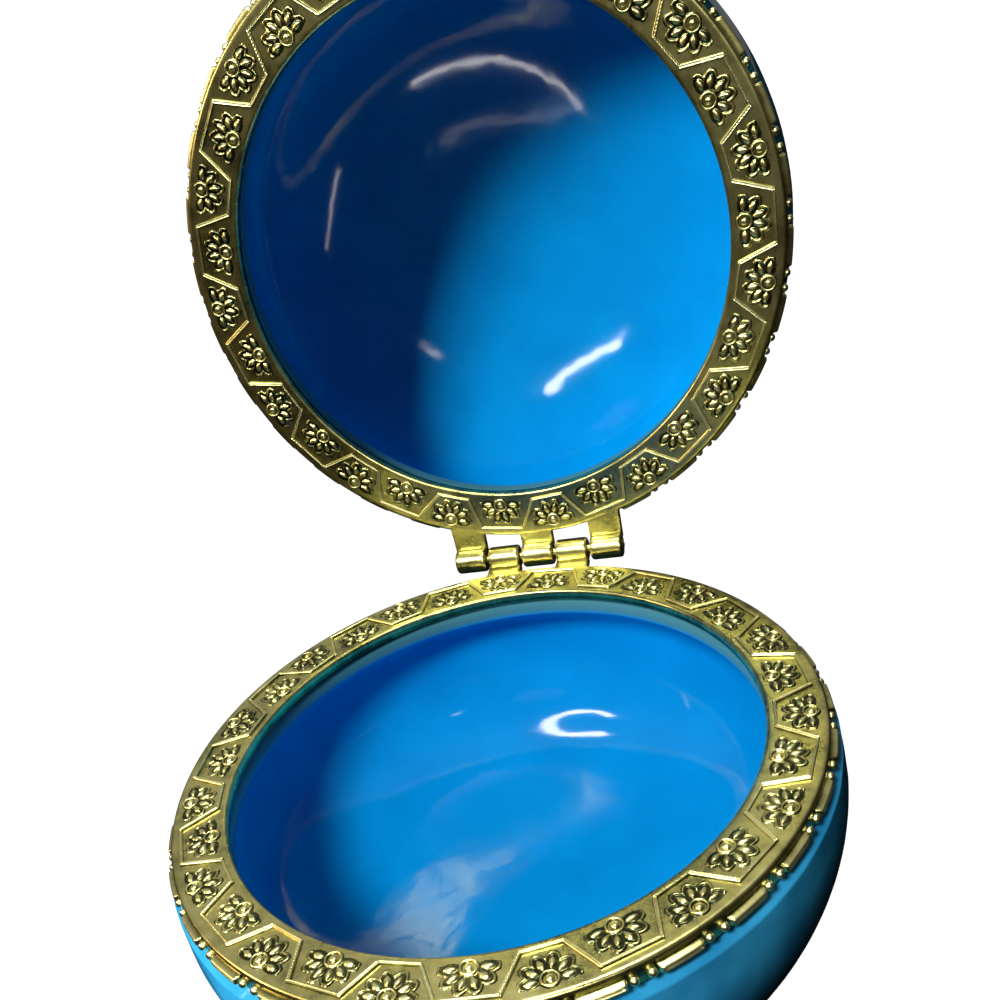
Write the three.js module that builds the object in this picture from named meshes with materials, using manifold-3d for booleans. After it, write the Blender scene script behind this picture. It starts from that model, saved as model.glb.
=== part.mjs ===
// A small hinged trinket box in the shape of a macaron, standing open.
// Two glazed ceramic shells, each set in a cast metal rim. The rims meet face to face
// when the box is shut and turn on one pin at the back. Millimetres, +Z up, the origin
// is the middle of the flat underside, the hinge is at the back (+Y).
import * as THREE from 'three';
import { mergeVertices } from 'three/addons/utils/BufferGeometryUtils.js';
import Module from 'manifold-3d';

const wasm = await Module();
wasm.setup();

// Heights and the way the lid stands
const BASE_HEIGHT = 23;          // underside to the mating face of the lower rim
const LID_HEIGHT = 20;           // mating face of the upper rim to the crown of the lid
const PARTING_GAP = 0.9;         // between the two mating faces when the box is shut
const OPEN_ANGLE = 92;           // degrees from shut to the stop, where the box stands open

// Face of each rim, from the opening outwards
const OPENING_RADIUS = 24.7;
const INNER_BORDER = 0.85;       // plain strip inside the meander
const MEANDER_DEPTH = 3.35;      // between the inner and the outer corners of the meander
const OUTER_BORDER = 0.6;        // plain strip outside the meander
const EDGE_ROUND = 0.4;          // sloped edge between the face and the skirt

// Section of each rim
const PLATE_THICKNESS = 1.1;
const COLLAR_THICKNESS = 0.7;    // short tube that lines the opening
const COLLAR_DEPTH = 1.5;
const SKIRT_THICKNESS = 0.9;
const SKIRT_DEPTH = 2.1;
const SEAT_CLEARANCE = 0.3;      // glue line between ceramic and metal

// Relief on the face
const PANELS = 30;               // trapezoids, with the bar outside and inside by turns
const BAR_WIDTH = 0.42;
const RELIEF = 0.25;
const ROOT = 0.3;                // how far added relief reaches into the metal
const OUTER_CORNER_INSET = 1.3;  // degrees that an outer corner steps into its panel
const INNER_CORNER_INSET = 2.25; // degrees that an inner corner steps into its panel
const BASE_PATTERN_TURN = 7.9;   // degrees from +X to the first slanted bar
const LID_PATTERN_TURN = 4.9;
const PETALS = 6;                // they fan towards the bar, and the far side stays free
const PETAL_TURN = 36;           // degrees from one petal to the next
const PETAL_REACH = 1.85;        // from the middle of the button to a petal's tip
const PETAL_VALLEY = 0.95;       // and to the notch between two petals
const BUTTON_RADIUS = 0.7;
const PETAL_ROOT = 0.05;         // how far a flower's foot lies under the face
const FLOWER_OFFSET = 1.2;       // how far the button stands off the middle of its panel

// Band of bars and pairs of beads round the skirt
const BAND_DEPTH = 1.25;         // below the mating face
const BAND_HEIGHT = 0.8;
const BAND_PROJECTION = 0.6;
const BAND_BAR_ANGLE = 7.4;      // degrees that one bar spans
const BEAD_RADIUS = 0.6;
const BEAD_SPREAD = 2.7;         // degrees between the two beads of a pair

// Hinge
const PIN_RADIUS = 0.55;
const PIN_CLEARANCE = 0.3;
const KNUCKLE_WALL = 0.5;
const KNUCKLE_WIDTH = 3.6;
const KNUCKLE_GAP = 0.35;
const KNUCKLES = 5;              // the lid carries the first, third and fifth
const HINGE_SETBACK = 2.3;       // from the skirt to the middle of the pin
const ARM_THICKNESS = 1.5;
const PIN_END = 0.2;             // how far the pin stands out past the outer knuckles

// Ceramic shells, measured down from the mating face
const BASE_OVERHANG = 1.15;      // how far the ceramic bulges past the skirt of its rim
const LID_OVERHANG = 0.7;
const BULGE_DEPTH = 5.8;         // where it is widest
const BASE_BELLY = 24.5;         // half height of the oval that the base is cut from
const LID_SQUARENESS = 2.3;      // 2 is an ellipse, more is fuller in the shoulder
const WALL = 3;
const FLOOR_THICKNESS = 3.4;
const CROWN_THICKNESS = 2.8;
const BASE_INNER_SQUARENESS = 2.8;
const LID_INNER_SQUARENESS = 2.4;
const THROAT_SETBACK = 0.2;      // from the collar's inner face back to the ceramic below it

// Facets
const RIM_SEGMENTS = 2 * PANELS;
const SHELL_SEGMENTS = 36;
const OUTER_STEPS = 6;
const INNER_STEPS = 5;
const SHOULDER_STEPS = 2;
const ROUND_SIDES = 12;

// Sizes that follow from those above
const meanderInner = OPENING_RADIUS + INNER_BORDER;
const meanderOuter = meanderInner + MEANDER_DEPTH;
const faceRadius = meanderOuter + OUTER_BORDER;
const skirtRadius = faceRadius + EDGE_ROUND;
const skirtInner = skirtRadius - SKIRT_THICKNESS;
const collarOuter = OPENING_RADIUS + COLLAR_THICKNESS;
const hingeY = skirtRadius + HINGE_SETBACK;
const hingeZ = BASE_HEIGHT + PARTING_GAP / 2;
const boreRadius = PIN_RADIUS + PIN_CLEARANCE;
const knuckleRadius = boreRadius + KNUCKLE_WALL;
const knucklePitch = KNUCKLE_WIDTH + KNUCKLE_GAP;
const hingeWidth = KNUCKLES * KNUCKLE_WIDTH + (KNUCKLES - 1) * KNUCKLE_GAP;
const shellTop = SKIRT_DEPTH + SEAT_CLEARANCE;
const panelAngle = 360 / PANELS;

const radians = THREE.MathUtils.degToRad;

function polar(radius, degrees) {
  const angle = radians(degrees);
  return new THREE.Vector2(radius * Math.cos(angle), radius * Math.sin(angle));
}

// Turns a three.js geometry into a solid that can be joined and cut
function solid(geometry) {
  const bare = geometry.index ? geometry.toNonIndexed() : geometry.clone();
  bare.deleteAttribute('normal');
  bare.deleteAttribute('uv');
  const merged = mergeVertices(bare, 1e-5);
  return new wasm.Manifold(new wasm.Mesh({
    numProp: 3,
    vertProperties: new Float32Array(merged.attributes.position.array),
    triVerts: new Uint32Array(merged.index.array),
  }));
}

// Turns a joined solid back into a geometry
function geometryOf(body) {
  const mesh = body.getMesh();
  const geometry = new THREE.BufferGeometry();
  geometry.setAttribute('position', new THREE.BufferAttribute(mesh.vertProperties, 3));
  geometry.setIndex(new THREE.BufferAttribute(mesh.triVerts, 1));
  geometry.computeVertexNormals();
  return geometry;
}

// Turns a profile of (radius, height) round the Z axis
function turned(points, segments) {
  const geometry = new THREE.LatheGeometry(points, segments);
  geometry.rotateX(Math.PI / 2);
  return geometry;
}

// Section of the rim: collar, plate with the face on top, sloped edge and skirt
function rimBody(turn) {
  const corners = [
    [OPENING_RADIUS, -COLLAR_DEPTH],
    [collarOuter, -COLLAR_DEPTH],
    [collarOuter, -PLATE_THICKNESS],
    [skirtInner, -PLATE_THICKNESS],
    [skirtInner, -SKIRT_DEPTH],
    [skirtRadius, -SKIRT_DEPTH],
    [skirtRadius, -EDGE_ROUND],
    [faceRadius, 0],
    [OPENING_RADIUS, 0],
    [OPENING_RADIUS, -COLLAR_DEPTH],
  ];
  const ring = turned(corners.map(([r, z]) => new THREE.Vector2(r, z)), RIM_SEGMENTS);
  ring.rotateZ(radians(turn));
  return solid(ring);
}

// Corners of the meander's middle line, once round the rim
function meanderLine(turn) {
  const line = [];
  for (let pair = 0; pair < PANELS / 2; pair += 1) {
    const start = turn + 2 * pair * panelAngle;
    const middle = start + panelAngle;
    line.push(polar(meanderInner, start - INNER_CORNER_INSET));
    line.push(polar(meanderOuter, start + OUTER_CORNER_INSET));
    line.push(polar(meanderOuter, middle - OUTER_CORNER_INSET));
    line.push(polar(meanderInner, middle + INNER_CORNER_INSET));
  }
  return line;
}

// Moves a closed line sideways by a distance, with mitred corners
function offsetLine(line, distance) {
  return line.map((point, index) => {
    const before = line[(index + line.length - 1) % line.length];
    const after = line[(index + 1) % line.length];
    const arriving = point.clone().sub(before).normalize();
    const leaving = after.clone().sub(point).normalize();
    const mitre = arriving.clone().add(leaving).normalize();
    const outwards = new THREE.Vector2(mitre.y, -mitre.x);
    return point.clone().addScaledVector(outwards, distance / mitre.dot(arriving));
  });
}

function meander(turn) {
  const line = meanderLine(turn);
  const shape = new THREE.Shape(offsetLine(line, BAR_WIDTH / 2));
  shape.holes.push(new THREE.Path(offsetLine(line, -BAR_WIDTH / 2)));
  const geometry = new THREE.ExtrudeGeometry(shape, { depth: ROOT + RELIEF, bevelEnabled: false });
  geometry.translate(0, 0, -ROOT);
  return solid(geometry);
}

// Foot of a flower, counted in half turns of a petal from the side of the bar: notches
// at the even steps, petals at the odd ones, and the edge of the button behind
function petalFoot(step) {
  if (Math.abs(step) > PETALS) {
    return polar(BUTTON_RADIUS, 180);
  }
  return polar(step % 2 === 0 ? PETAL_VALLEY : PETAL_REACH, step * PETAL_TURN / 2);
}

// A daisy: a low cone whose foot is drawn out into petals
function flower(angle, barSide) {
  const height = PETAL_ROOT + RELIEF;
  const sides = 2 * (PETALS + 1);
  const geometry = new THREE.ConeGeometry(1, height, sides, 1, false, Math.PI / 2);
  geometry.rotateX(Math.PI / 2);
  const place = geometry.attributes.position;
  const point = new THREE.Vector2();
  for (let i = 0; i < place.count; i += 1) {
    point.set(place.getX(i), place.getY(i));
    if (Math.round(point.length()) === 1) {
      const turns = Math.atan2(point.y, point.x) / (2 * Math.PI);
      const foot = petalFoot(Math.round(turns * sides)).multiplyScalar(height / RELIEF);
      place.setXY(i, foot.x, foot.y);
    }
  }
  geometry.translate(0, 0, height / 2 - PETAL_ROOT);
  geometry.rotateZ(radians(angle) + (barSide > 0 ? 0 : Math.PI));
  const seat = polar((meanderInner + meanderOuter) / 2 - barSide * FLOWER_OFFSET, angle);
  geometry.translate(seat.x, seat.y, 0);
  return solid(geometry);
}

// One bar of the band, rooted in the skirt
function bandBar(angle) {
  const inner = skirtRadius - ROOT;
  const outer = skirtRadius + BAND_PROJECTION;
  const half = BAND_BAR_ANGLE / 2;
  const shape = new THREE.Shape([
    polar(inner, angle - half),
    polar(outer, angle - half),
    polar(outer, angle + half),
    polar(inner, angle + half),
  ]);
  const geometry = new THREE.ExtrudeGeometry(shape, { depth: BAND_HEIGHT, bevelEnabled: false });
  geometry.translate(0, 0, -BAND_DEPTH - BAND_HEIGHT / 2);
  return solid(geometry);
}

// A bead, as a low four-sided point
function bead(angle) {
  const geometry = new THREE.ConeGeometry(BEAD_RADIUS, BAND_PROJECTION + ROOT, 4);
  const seat = polar(skirtRadius + (BAND_PROJECTION - ROOT) / 2, angle);
  geometry.rotateZ(radians(angle - 90));
  geometry.translate(seat.x, seat.y, -BAND_DEPTH);
  return solid(geometry);
}

// The band stops on both sides of the hinge
function band(turn) {
  const pieces = [];
  const hingeHalfAngle = THREE.MathUtils.radToDeg(Math.atan2(hingeWidth / 2, skirtRadius));
  for (let panel = 0; panel < PANELS; panel += 1) {
    const pairAngle = turn + (panel + 0.5) * panelAngle;
    const barAngle = turn + panel * panelAngle;
    const clear = (angle) => {
      const fromHinge = Math.abs(((angle - 90 + 540) % 360) - 180);
      return fromHinge > hingeHalfAngle + BAND_BAR_ANGLE / 2;
    };
    if (clear(barAngle)) {
      pieces.push(bandBar(barAngle));
    }
    if (clear(pairAngle)) {
      pieces.push(bead(pairAngle - BEAD_SPREAD / 2));
      pieces.push(bead(pairAngle + BEAD_SPREAD / 2));
    }
  }
  return pieces;
}

// Where a knuckle begins along X
function knuckleStart(index) {
  return -hingeWidth / 2 + index * knucklePitch;
}

// An arm with its knuckle: a plate level with the face that ends in a round eye
function hingeArm(index) {
  const rootY = Math.sqrt(skirtInner ** 2 - (hingeWidth / 2) ** 2);
  const plate = new THREE.Shape([
    new THREE.Vector2(rootY, -ARM_THICKNESS),
    new THREE.Vector2(hingeY, -ARM_THICKNESS),
    new THREE.Vector2(hingeY, 0),
    new THREE.Vector2(rootY, 0),
  ]);
  const settings = { depth: KNUCKLE_WIDTH, bevelEnabled: false };
  const arm = new THREE.ExtrudeGeometry(plate, settings);
  arm.applyMatrix4(new THREE.Matrix4().makeBasis(
    new THREE.Vector3(0, 1, 0),
    new THREE.Vector3(0, 0, 1),
    new THREE.Vector3(1, 0, 0),
  ));
  arm.translate(knuckleStart(index), 0, 0);
  const eye = new THREE.CylinderGeometry(knuckleRadius, knuckleRadius, KNUCKLE_WIDTH, ROUND_SIDES);
  eye.rotateZ(Math.PI / 2);
  eye.translate(knuckleStart(index) + KNUCKLE_WIDTH / 2, hingeY, PARTING_GAP / 2);
  return solid(arm).subtract(seat()).add(solid(eye));
}

// The room under the plate, out to the middle of the skirt, that the arms leave free
function seat() {
  const radius = skirtRadius - SKIRT_THICKNESS / 2;
  const room = new THREE.CylinderGeometry(radius, radius, SKIRT_DEPTH, RIM_SEGMENTS);
  room.rotateX(Math.PI / 2);
  room.translate(0, 0, -PLATE_THICKNESS + ROOT - SKIRT_DEPTH / 2);
  return solid(room);
}

function bore() {
  const hole = new THREE.CylinderGeometry(boreRadius, boreRadius, 2 * hingeWidth, ROUND_SIDES);
  hole.rotateZ(Math.PI / 2);
  hole.translate(0, hingeY, PARTING_GAP / 2);
  return solid(hole);
}

function isLidKnuckle(index) {
  return index % 2 === 0;
}

// A whole rim with its mating face up at height 0 and its own knuckles
function rim(turn, forLid) {
  let body = rimBody(turn).add(meander(turn));
  for (let panel = 0; panel < PANELS; panel += 1) {
    const barSide = panel % 2 === 0 ? 1 : -1;
    body = body.add(flower(turn + (panel + 0.5) * panelAngle, barSide));
  }
  for (const piece of band(turn)) {
    body = body.add(piece);
  }
  for (let index = 0; index < KNUCKLES; index += 1) {
    if (isLidKnuckle(index) === forLid) {
      body = body.add(hingeArm(index));
    }
  }
  return geometryOf(body.subtract(bore()));
}

// Radius of an oval at a height above its widest place
function ovalRadius(widest, halfHeight, squareness, height) {
  const share = Math.min(Math.abs(height) / halfHeight, 1);
  return widest * (1 - share ** squareness) ** (1 / squareness);
}

// Profile of a shell: outside from the bottom to the seat, lip, then inside to the axis
function shellProfile({ bulge, depth, belly, squareness, innerDepth, innerSquareness }) {
  const outline = [new THREE.Vector2(0, -depth)];
  const lowest = Math.min(depth - BULGE_DEPTH, belly);
  for (let step = 0; step <= OUTER_STEPS; step += 1) {
    const height = lowest * Math.cos((step / OUTER_STEPS) * Math.PI / 2);
    const radius = ovalRadius(bulge, belly, squareness, height);
    if (radius > 0) {
      outline.push(new THREE.Vector2(radius, -BULGE_DEPTH - height));
    }
  }
  const topRadius = ovalRadius(bulge, BASE_BELLY, 2, BULGE_DEPTH - shellTop);
  const lipOuter = skirtInner - SEAT_CLEARANCE;
  const lipInner = collarOuter + SEAT_CLEARANCE;
  const lipTop = -PLATE_THICKNESS - SEAT_CLEARANCE;
  const throatRadius = OPENING_RADIUS + THROAT_SETBACK;
  const throatTop = -COLLAR_DEPTH - SEAT_CLEARANCE;
  outline.push(new THREE.Vector2(topRadius, -shellTop));
  outline.push(new THREE.Vector2(lipOuter, -shellTop));
  outline.push(new THREE.Vector2(lipOuter, lipTop));
  outline.push(new THREE.Vector2(lipInner, lipTop));
  outline.push(new THREE.Vector2(lipInner, throatTop));
  outline.push(new THREE.Vector2(throatRadius, throatTop));
  const innerRadius = bulge - WALL;
  const innerHeight = innerDepth - BULGE_DEPTH;
  for (let step = 1; step < SHOULDER_STEPS; step += 1) {
    const quarter = (step / SHOULDER_STEPS) * Math.PI / 2;
    outline.push(new THREE.Vector2(
      throatRadius + (innerRadius - throatRadius) * Math.sin(quarter),
      -BULGE_DEPTH + (BULGE_DEPTH + throatTop) * Math.cos(quarter),
    ));
  }
  for (let step = 0; step < INNER_STEPS; step += 1) {
    const height = innerHeight * Math.sin((step / INNER_STEPS) * Math.PI / 2);
    const radius = ovalRadius(innerRadius, innerHeight, innerSquareness, height);
    outline.push(new THREE.Vector2(radius, -BULGE_DEPTH - height));
  }
  outline.push(new THREE.Vector2(0, -innerDepth));
  return outline;
}

function shell(form) {
  return turned(shellProfile(form), SHELL_SEGMENTS);
}

const metal = { color: 0x9c905c, roughness: 0.22, metalness: 1 };
const glaze = { color: 0x2f8fc8, roughness: 0.12, metalness: 0 };

function named(name, geometry, look) {
  const mesh = new THREE.Mesh(geometry, new THREE.MeshStandardMaterial(look));
  mesh.name = name;
  return mesh;
}

// The lower half stands on its underside
const base = new THREE.Group();
base.position.z = BASE_HEIGHT;
base.add(named('base_shell', shell({
  bulge: skirtRadius + BASE_OVERHANG,
  depth: BASE_HEIGHT,
  belly: BASE_BELLY,
  squareness: 2,
  innerDepth: BASE_HEIGHT - FLOOR_THICKNESS,
  innerSquareness: BASE_INNER_SQUARENESS,
}), glaze));
base.add(named('base_rim', rim(BASE_PATTERN_TURN, false), metal));

// The upper half is turned over onto the lower one, then opened about the pin
const lid = new THREE.Group();
lid.position.set(0, -hingeY, PARTING_GAP / 2);
lid.rotation.y = Math.PI;
lid.add(named('lid_shell', shell({
  bulge: skirtRadius + LID_OVERHANG,
  depth: LID_HEIGHT,
  belly: LID_HEIGHT - BULGE_DEPTH,
  squareness: LID_SQUARENESS,
  innerDepth: LID_HEIGHT - CROWN_THICKNESS,
  innerSquareness: LID_INNER_SQUARENESS,
}), glaze));
lid.add(named('lid_rim', rim(LID_PATTERN_TURN, true), metal));

const opened = new THREE.Group();
opened.position.set(0, hingeY, hingeZ);
opened.rotation.x = -radians(OPEN_ANGLE);
opened.add(lid);

const pinShape = new THREE.CylinderGeometry(PIN_RADIUS, PIN_RADIUS, hingeWidth + 2 * PIN_END, ROUND_SIDES);
pinShape.rotateZ(Math.PI / 2);
const pin = named('hinge_pin', pinShape, metal);
pin.position.set(0, hingeY, hingeZ);

const box = new THREE.Group();
box.add(base);
box.add(opened);
box.add(pin);

export default box;
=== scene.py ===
# %% [markdown]
# # A macaron trinket box, standing open
# The real object is a small glazed ceramic box in two halves. Each half sits in a ring of
# polished gold-tone casting, and the two rings turn on one pin at the back. The frame that is
# loaded here holds the plain solids and the joint. Every solid is then replaced by a finer
# surface of the same size, and that surface rides on the same body as its solid, so the lid
# still opens and shuts.

# %% Load the frame and the tools
import bpy
import numpy as np
from mathutils import Matrix, Vector


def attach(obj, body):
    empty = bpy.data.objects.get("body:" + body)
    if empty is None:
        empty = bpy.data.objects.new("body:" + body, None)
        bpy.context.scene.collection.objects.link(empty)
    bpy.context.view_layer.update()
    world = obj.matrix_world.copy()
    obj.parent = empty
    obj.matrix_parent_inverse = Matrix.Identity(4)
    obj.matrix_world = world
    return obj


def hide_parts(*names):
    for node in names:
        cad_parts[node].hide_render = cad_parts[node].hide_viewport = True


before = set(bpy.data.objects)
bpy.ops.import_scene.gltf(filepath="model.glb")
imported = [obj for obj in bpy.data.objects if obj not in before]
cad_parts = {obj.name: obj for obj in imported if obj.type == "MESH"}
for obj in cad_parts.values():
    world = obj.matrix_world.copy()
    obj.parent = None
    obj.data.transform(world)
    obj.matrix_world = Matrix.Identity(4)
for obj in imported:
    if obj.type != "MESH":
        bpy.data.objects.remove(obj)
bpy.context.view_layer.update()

print("nodes:", sorted(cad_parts))

# %% [markdown]
# ## The sizes of one half
# Both halves are drawn the same way: the mating face of the metal ring is at height 0 and the
# material lies below it. A ring could be drawn twice, once in each place, but then every size
# would be written twice. Here it is drawn once and moved into place at the end. All numbers
# are millimetres and become metres in the last step.

# %% Sizes in millimetres and the two places
MM = 0.001
BASE_HEIGHT, LID_HEIGHT = 23.0, 20.0
OPENING, MEANDER_IN, MEANDER_OUT = 24.7, 25.55, 28.9
SKIRT_OUT, SKIRT_IN, SKIRT_DEPTH = 29.9, 29.0, 2.1
PANELS = 30
PANEL = 2 * np.pi / PANELS
PATTERN_TURN = {"base": np.radians(7.9), "lid": np.radians(4.9)}
HINGE_Y, HALF_GAP, OPEN_ANGLE = 32.2, 0.45, 92.0
HALVES = ("base", "lid")


def placed(points, half):
    """Moves points of a half into the open box. Base: p + (0, 0, height). Lid: turned over
    by (x, y, z) -> (-x, y, -z), set on the pin, and turned back by the open angle about X."""
    points = np.asarray(points, dtype=float)
    if half == "base":
        return points + [0, 0, BASE_HEIGHT]
    over = points * [-1, 1, -1] + [0, -HINGE_Y, HALF_GAP]
    angle = -np.radians(OPEN_ANGLE)
    cos, sin = np.cos(angle), np.sin(angle)
    turned_y = cos * over[..., 1] - sin * over[..., 2]
    turned_z = sin * over[..., 1] + cos * over[..., 2]
    opened = np.stack([over[..., 0], turned_y, turned_z], axis=-1)
    return opened + [0, HINGE_Y, BASE_HEIGHT + HALF_GAP]


print("middle of the open lid's face, mm:", placed([0, 0, 0], "lid").round(2))

# %% [markdown]
# ## From arrays to a closed mesh
# A lathe, a bar, a petal and a bead are all grids of points. Writing the points straight into
# the mesh as whole arrays is quick even for a hundred thousand of them, where adding them one
# by one or by operators would take minutes. The faces of a closed body have to look outwards,
# so the volume is measured and the faces are turned when it comes out negative.

# %% Helpers that write meshes
def signed_volume(points, faces):
    """Sum over every face, cut into a fan of triangles a, b, c, of a . (b x c) / 6."""
    total = 0.0
    for group in faces:
        a = points[group[:, 0]]
        for k in range(1, group.shape[1] - 1):
            b, c = points[group[:, k]], points[group[:, k + 1]]
            total += np.einsum("ij,ij->i", a, np.cross(b, c)).sum() / 6
    return total


def outwards(points, faces):
    """The faces as they are, or all turned over when the volume they close is negative."""
    return [group[:, ::-1] for group in faces] if signed_volume(points, faces) < 0 else faces


def new_mesh(name, points, faces, half, **values):
    """An object from points (n, 3) in mm and groups of faces (m, corners), moved into its
    half. Each extra keyword becomes a number on every point, for the material to read."""
    points = placed(points.reshape(-1, 3), half) * MM
    faces = outwards(points, faces)
    mesh = bpy.data.meshes.new(name)
    mesh.vertices.add(len(points))
    mesh.vertices.foreach_set("co", points.astype(np.float32).ravel())
    corners = np.concatenate([group.ravel() for group in faces])
    sizes = np.concatenate([np.full(len(group), group.shape[1]) for group in faces])
    mesh.loops.add(len(corners))
    mesh.loops.foreach_set("vertex_index", corners.astype(np.int32))
    mesh.polygons.add(len(sizes))
    starts = np.concatenate([[0], np.cumsum(sizes)[:-1]])
    mesh.polygons.foreach_set("loop_start", starts.astype(np.int32))
    mesh.polygons.foreach_set("use_smooth", np.ones(len(sizes), dtype=bool))
    for key, value in values.items():
        layer = mesh.attributes.new(key, "FLOAT", "POINT")
        layer.data.foreach_set("value", np.broadcast_to(value, len(points)).astype(np.float32))
    mesh.update(calc_edges=True)
    mesh.validate()
    obj = bpy.data.objects.new(name, mesh)
    bpy.context.scene.collection.objects.link(obj)
    print(name, len(points), "points,", int((sizes - 2).sum()), "triangles")
    return obj


# %% [markdown]
# ## Profiles, rings and bodies of revolution
# Most of the box is round, and a lathe's way of working fits it: a profile is drawn once and
# turned about the axis. Blender's Screw modifier would do that too, but as an array each point
# still knows where on the profile it lies, and its colour can be worked out from that.

# %% Rounded profiles, and faces between copies of a profile
def rounded(corners, reach, steps=7):
    """Rounds every corner C of a closed outline. From A = C + reach * (towards the one before)
    to B = C + reach * (towards the next) it follows (1-t)^2 A + 2t(1-t) C + t^2 B, with one
    more point on each side so that the flats stay flat in the reflections."""
    corners = np.asarray(corners, dtype=float)
    reach = np.broadcast_to(reach, len(corners)).astype(float)[:, None]
    back = np.roll(corners, 1, axis=0) - corners
    ahead = np.roll(corners, -1, axis=0) - corners
    back /= np.linalg.norm(back, axis=1, keepdims=True)
    ahead /= np.linalg.norm(ahead, axis=1, keepdims=True)
    a, b = corners + reach * back, corners + reach * ahead
    t = np.linspace(0, 1, steps)[None, :, None]
    arc = (1 - t) ** 2 * a[:, None] + 2 * t * (1 - t) * corners[:, None] + t ** 2 * b[:, None]
    before, after = (a + 0.5 * reach * back)[:, None], (b + 0.5 * reach * ahead)[:, None]
    return np.concatenate([before, arc, after], axis=1).reshape(-1, 2)


def tube_faces(pieces, rows, columns, joined=False):
    """Faces of closed outlines of `columns` points, repeated in `rows` along each piece. The
    ends get a cap, or meet each other when joined."""
    last = rows if joined else rows - 1
    piece, row, column = np.meshgrid(
        np.arange(pieces), np.arange(last), np.arange(columns), indexing="ij")
    start, after = (piece * rows + row) * columns, (piece * rows + (row + 1) % rows) * columns
    following = (column + 1) % columns
    quads = np.stack([start + column, after + column, after + following, start + following],
                     axis=-1).reshape(-1, 4)
    if joined:
        return [quads]
    first = np.arange(pieces)[:, None] * rows * columns + np.arange(columns)[None, :]
    return [quads, first, (first + (rows - 1) * columns)[:, ::-1]]


# %% Turning a profile about Z
def ring_of(outline, segments):
    """A closed outline of (r, z) turned round Z: x = r cos a, y = r sin a, at even angles a."""
    angle = 2 * np.pi * np.arange(segments)[:, None] / segments
    r, z = outline[None, :, 0], outline[None, :, 1]
    points = np.stack([r * np.cos(angle), r * np.sin(angle), z + 0 * angle], axis=-1)
    return points.reshape(-1, 3), tube_faces(1, segments, len(outline), joined=True)


def turned(outline, segments):
    """An open outline of (r, z) from axis to axis turned round Z. Its two ends become one point
    each, the last two in the list, and a fan of triangles joins each to the surface."""
    count = len(outline) - 2
    points, (quads,) = ring_of(outline[1:-1], segments)
    quads = quads[np.arange(len(quads)) % count != count - 1]
    low = np.arange(segments) * count
    high = low + count - 1
    start = np.full(segments, len(points))
    fans = [np.stack([start, np.roll(low, -1), low], -1),
            np.stack([start + 1, high, np.roll(high, -1)], -1)]
    poles = [[0, 0, outline[0, 1]], [0, 0, outline[-1, 1]]]
    return np.concatenate([points, poles]), [quads] + fans


diamond = np.array([[0, -1], [1, 0], [0, 1]])
print("points of a diamond turned in four steps:", len(turned(diamond, 4)[0]))

# %% [markdown]
# ## The ceramic shells
# A shell is thrown or cast in a mould that is a body of revolution, so its surface is one
# outline turned round the axis. The outside is an oval, r = R (1 - |h/H|^n)^(1/n), cut flat
# for the base. The inside is another oval under a straighter throat, which takes the collar of
# the ring. A drawn curve would need its points moved by hand whenever a size changes.

# %% Lines that shape a shell
def oval(widest, half_height, square, height):
    """Radius of an oval: widest * (1 - |height / half_height|^square)^(1 / square)."""
    share = np.clip(np.abs(height) / half_height, 0, 1)
    return widest * (1 - share ** square) ** (1 / square)


def softened(points, passes):
    """Rounds an open outline: each pass moves a point to the mean of itself and the mean of
    its neighbours, p = p/2 + (before + after)/4, apart from the ends."""
    points = points.copy()
    for _ in range(passes):
        points[1:-1] = points[1:-1] / 2 + (points[:-2] + points[2:]) / 4
    return points


def spaced(points, count):
    """The same line with `count` points at even distances along it."""
    points = np.asarray(points, dtype=float)
    run = np.concatenate([[0], np.cumsum(np.linalg.norm(np.diff(points, axis=0), axis=1))])
    even = np.linspace(0, run[-1], count)
    return np.stack([np.interp(even, run, points[:, 0]), np.interp(even, run, points[:, 1])], -1)


# %% Outline of a shell
BULGE_DEPTH, WALL = 5.8, 3.0
SHOULDER_BELLY, SHOULDER_SQUARE = 24.5, 2.0
THROAT, THROAT_END, LIP_IN, LIP_OUT, LIP_TOP, SEAT = 24.9, 3.3, 25.7, 28.7, 1.4, 2.4
FOOT_RECESS, FOOT_WIDTH, FOOT_SLOPE = 0.7, 4.6, 0.6
OUTSIDE_POINTS, INSIDE_POINTS, TURN_STEPS = 140, 170, 200
SHELLS = {
    "base": dict(bulge=31.05, depth=BASE_HEIGHT, belly=24.5, square=2.0,
                 inner_depth=19.8, inner_square=2.8),
    "lid": dict(bulge=30.6, depth=LID_HEIGHT - 0.1, belly=14.1, square=2.3,
                inner_depth=17.2, inner_square=2.4),
}


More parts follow.
